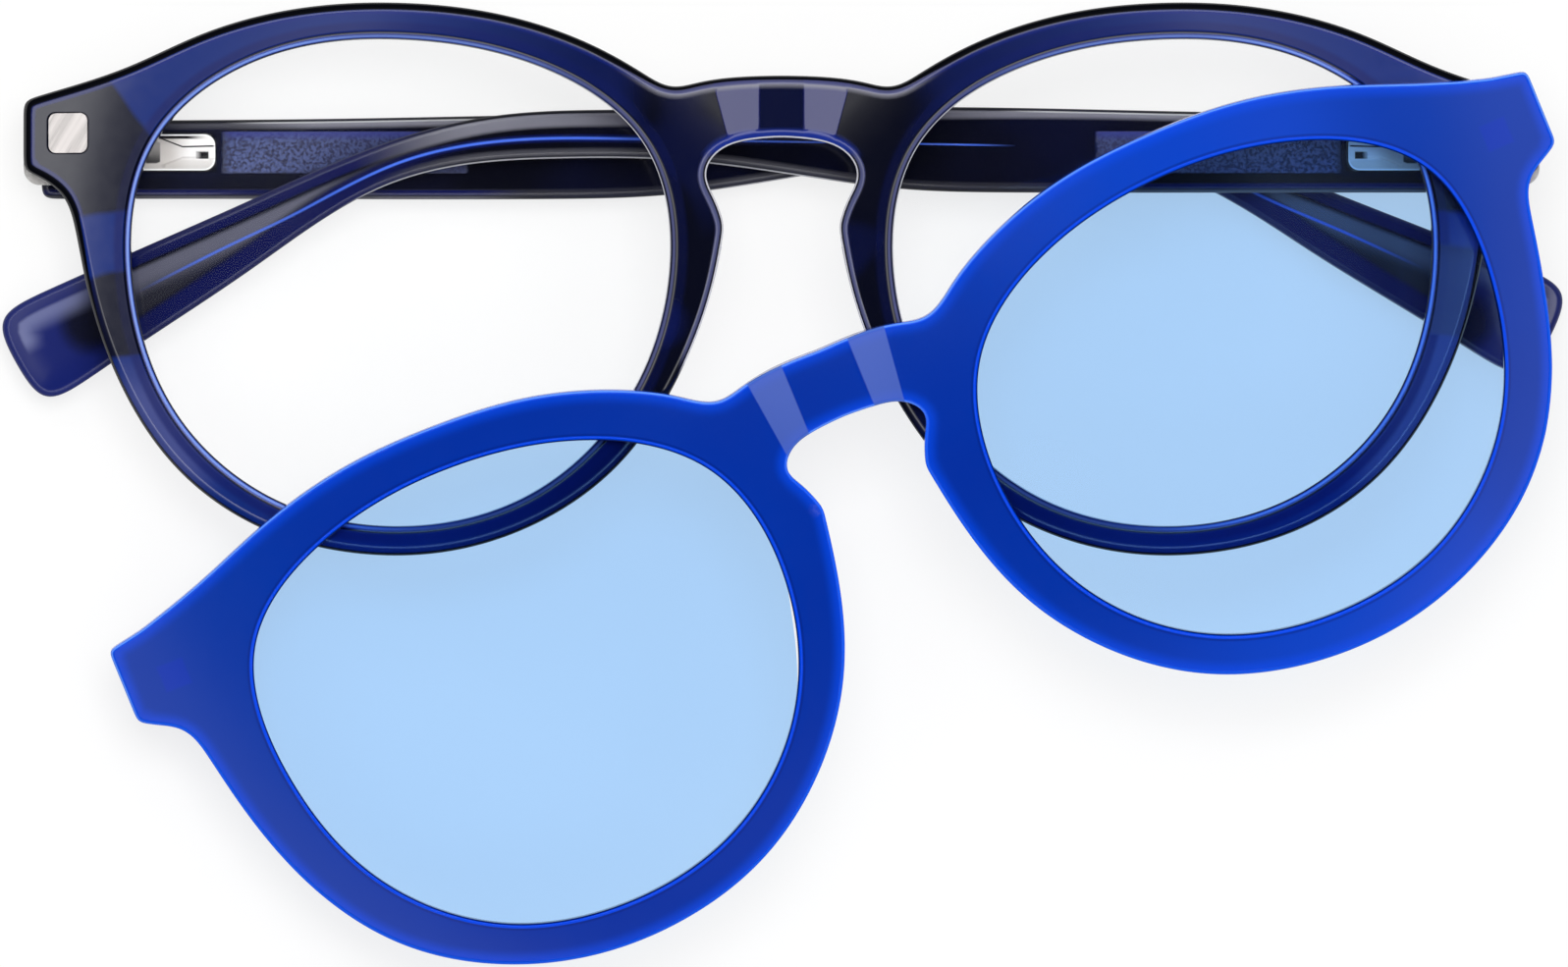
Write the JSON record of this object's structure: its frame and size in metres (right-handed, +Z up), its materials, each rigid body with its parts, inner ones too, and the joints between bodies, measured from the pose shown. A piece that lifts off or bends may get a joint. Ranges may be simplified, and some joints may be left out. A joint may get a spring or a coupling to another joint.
{
  "type": "glasses with magnetic clip-on",
  "caption": "Round keyhole-bridge eyeglasses lying folded, face up, with a magnetic tinted clip-on front swung aside on one magnet.",
  "frame": {"origin": "centre of the bounding box, on the surface that the folded glasses lie on", "axes": "+Z up out of the lenses' fronts, +X to the right along the front, +Y towards the brow"},
  "size_m": [0.1448, 0.0884, 0.0254],
  "materials": {
    "tortoise_acetate": "polished, navy with near-black patches",
    "clip_acetate": "polished, clear blue",
    "clear_lens": "clear",
    "clip_lens": "clear light blue",
    "brushed_plaque": "brushed",
    "magnet": "nickel plated",
    "hinge_metal": "polished",
    "spring_steel": "bright",
    "core_wire": "bright, seen through the plastic"
  },
  "bodies": {
    "front": {"front_frame": "tortoise_acetate", "left_demo_lens": "clear_lens", "left_nose_pad": "tortoise_acetate", "left_plaque": "brushed_plaque", "left_front_magnet": "magnet", "left_hinge_leaf": "hinge_metal", "left_hinge_rivets": "hinge_metal", "left_hinge_screw": "hinge_metal", "right_demo_lens": "clear_lens", "right_nose_pad": "tortoise_acetate", "right_plaque": "brushed_plaque", "right_front_magnet": "magnet", "right_hinge_leaf": "hinge_metal", "right_hinge_rivets": "hinge_metal", "right_hinge_screw": "hinge_metal"},
    "left_slider": {"left_spring_slider": "hinge_metal", "left_spring_nut": "hinge_metal", "left_flex_spring": "spring_steel"},
    "left_arm": {"left_temple": "tortoise_acetate", "left_core_wire": "core_wire", "left_spring_housing": "hinge_metal"},
    "right_slider": {"right_spring_slider": "hinge_metal", "right_spring_nut": "hinge_metal", "right_flex_spring": "spring_steel"},
    "right_arm": {"right_temple": "tortoise_acetate", "right_core_wire": "core_wire", "right_spring_housing": "hinge_metal"},
    "clip": {"clip_frame": "clip_acetate", "left_clip_lens": "clip_lens", "left_clip_magnet": "magnet", "right_clip_lens": "clip_lens", "right_clip_magnet": "magnet"}
  },
  "joints": [
    {"name": "left_fold", "type": "hinge", "parent": "front", "child": "left_slider", "pos_m": [-0.06638, 0.03026, 0.00393], "axis": [0, 1, 0], "range_deg": [0, 88.3]},
    {"name": "left_flex", "type": "slide", "parent": "left_slider", "child": "left_arm", "axis": [0.9996, 0, 0.0279], "range_m": [0, 0.0012], "stiffness_N_per_m": 2500, "deforming": ["left_flex_spring"]},
    {"name": "right_fold", "type": "hinge", "parent": "front", "child": "right_slider", "pos_m": [0.0654, 0.03026, 0.01152], "axis": [0, -1, 0], "range_deg": [-0.15, 0.1]},
    {"name": "right_flex", "type": "slide", "parent": "right_slider", "child": "right_arm", "axis": [-0.9996, 0, -0.0279], "range_m": [0, 0.0012], "stiffness_N_per_m": 2500, "deforming": ["right_flex_spring"]},
    {"name": "clip_swing", "type": "hinge", "parent": "front", "child": "clip", "pos_m": [0.06458, 0.03196, 0.0189], "axis": [0.1622, 0.0463, 0.9857], "range_deg": [-22.8, 25]}
  ]
}
